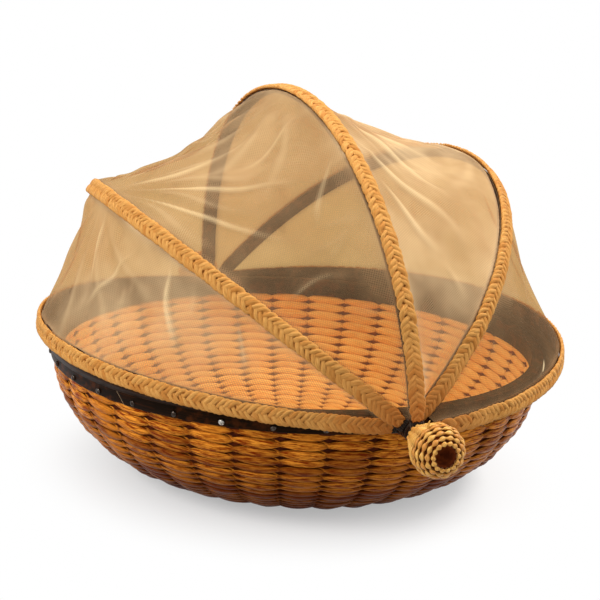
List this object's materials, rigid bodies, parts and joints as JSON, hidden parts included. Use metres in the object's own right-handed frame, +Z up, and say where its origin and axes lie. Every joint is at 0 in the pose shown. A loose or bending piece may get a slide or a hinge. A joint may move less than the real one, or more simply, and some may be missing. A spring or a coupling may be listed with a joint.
{
  "type": "lidded fruit basket",
  "caption": "Round woven bowl with a dark rim and a net lid on hoops that pivot at two side knobs and fold back, for keeping fruit or food covered.",
  "frame": {"origin": "middle of the base board's underside, on the table", "axes": "+X along the lid's pivot axis, -Y to the front where the lid opens, +Z up"},
  "size_m": [0.4092, 0.3176, 0.2323],
  "materials": {
    "rattan_weave": "varnished split rattan, woven",
    "dark_lacquer": "black-brown lacquer, satin gloss",
    "dark_board": "black-brown lacquered board",
    "nail_steel": "bright domed tack",
    "straw_braid": "braided split cane, matte",
    "knob_weave": "woven split cane, semi-gloss",
    "dark_cord": "waxed black cord",
    "net": "fine beige net"
  },
  "bodies": {
    "basket": {"base_board": "dark_board", "woven_bowl": "rattan_weave", "rim_band_outer": "dark_lacquer", "rim_band_inner": "dark_lacquer", "rim_cap": "dark_lacquer", "rim_nail_01": "nail_steel", "rim_nail_02": "nail_steel", "rim_nail_03": "nail_steel", "rim_nail_04": "nail_steel", "rim_nail_05": "nail_steel", "rim_nail_06": "nail_steel", "rim_nail_07": "nail_steel", "rim_nail_08": "nail_steel", "rim_nail_09": "nail_steel", "rim_nail_10": "nail_steel", "rim_nail_11": "nail_steel", "rim_nail_12": "nail_steel", "rim_nail_13": "nail_steel", "rim_nail_14": "nail_steel", "rim_nail_15": "nail_steel", "rim_nail_16": "nail_steel", "rim_nail_17": "nail_steel", "rim_nail_18": "nail_steel", "rim_nail_19": "nail_steel", "rim_nail_20": "nail_steel", "rim_nail_21": "nail_steel", "rim_nail_22": "nail_steel", "rim_nail_23": "nail_steel", "rim_nail_24": "nail_steel", "rim_nail_25": "nail_steel", "rim_nail_26": "nail_steel", "rim_nail_27": "nail_steel", "rim_nail_28": "nail_steel", "rim_nail_29": "nail_steel", "rim_nail_30": "nail_steel", "rim_nail_31": "nail_steel", "rim_nail_32": "nail_steel", "rim_nail_33": "nail_steel", "rim_nail_34": "nail_steel", "pivot_pin_right": "dark_lacquer", "pivot_lashing_right": "dark_cord", "pivot_knob_right": "knob_weave", "pivot_pin_left": "dark_lacquer", "pivot_lashing_left": "dark_cord", "pivot_knob_left": "knob_weave", "hoop_strip_rear": "dark_lacquer", "hoop_braid_rear": "straw_braid", "net_panel_rear": "net"},
    "hoop_rear_middle": {"hoop_strip_rear_middle": "dark_lacquer", "hoop_braid_rear_middle": "straw_braid", "net_panel_rear_top": "net"},
    "hoop_top": {"hoop_strip_top": "dark_lacquer", "hoop_braid_top": "straw_braid", "net_panel_front_top": "net"},
    "hoop_front_middle": {"hoop_strip_front_middle": "dark_lacquer", "hoop_braid_front_middle": "straw_braid", "net_panel_front": "net"},
    "hoop_front": {"hoop_strip_front": "dark_lacquer", "hoop_braid_front": "straw_braid"}
  },
  "joints": [
    {"name": "rear_middle_hoop_hinge", "type": "hinge", "parent": "basket", "child": "hoop_rear_middle", "pos_m": [0, 0, 0.0732], "axis": [-1, 0, 0], "range_deg": [0, 36.9], "deforming": ["net_panel_rear"]},
    {"name": "top_hoop_hinge", "type": "hinge", "parent": "hoop_rear_middle", "child": "hoop_top", "pos_m": [0, 0, 0.0732], "axis": [-1, 0, 0], "range_deg": [0, 39.9], "deforming": ["net_panel_rear_top"]},
    {"name": "front_middle_hoop_hinge", "type": "hinge", "parent": "hoop_top", "child": "hoop_front_middle", "pos_m": [0, 0, 0.0732], "axis": [-1, 0, 0], "range_deg": [0, 41.4], "deforming": ["net_panel_front_top"]},
    {"name": "front_hoop_hinge", "type": "hinge", "parent": "hoop_front_middle", "child": "hoop_front", "pos_m": [0, 0, 0.0732], "axis": [-1, 0, 0], "range_deg": [0, 26.4], "deforming": ["net_panel_front"]}
  ],
  "couplings": [
    {"joint": "top_hoop_hinge", "follows": "rear_middle_hoop_hinge", "ratio": 1.0813},
    {"joint": "front_middle_hoop_hinge", "follows": "rear_middle_hoop_hinge", "ratio": 1.1219},
    {"joint": "front_hoop_hinge", "follows": "rear_middle_hoop_hinge", "ratio": 0.7154}
  ]
}
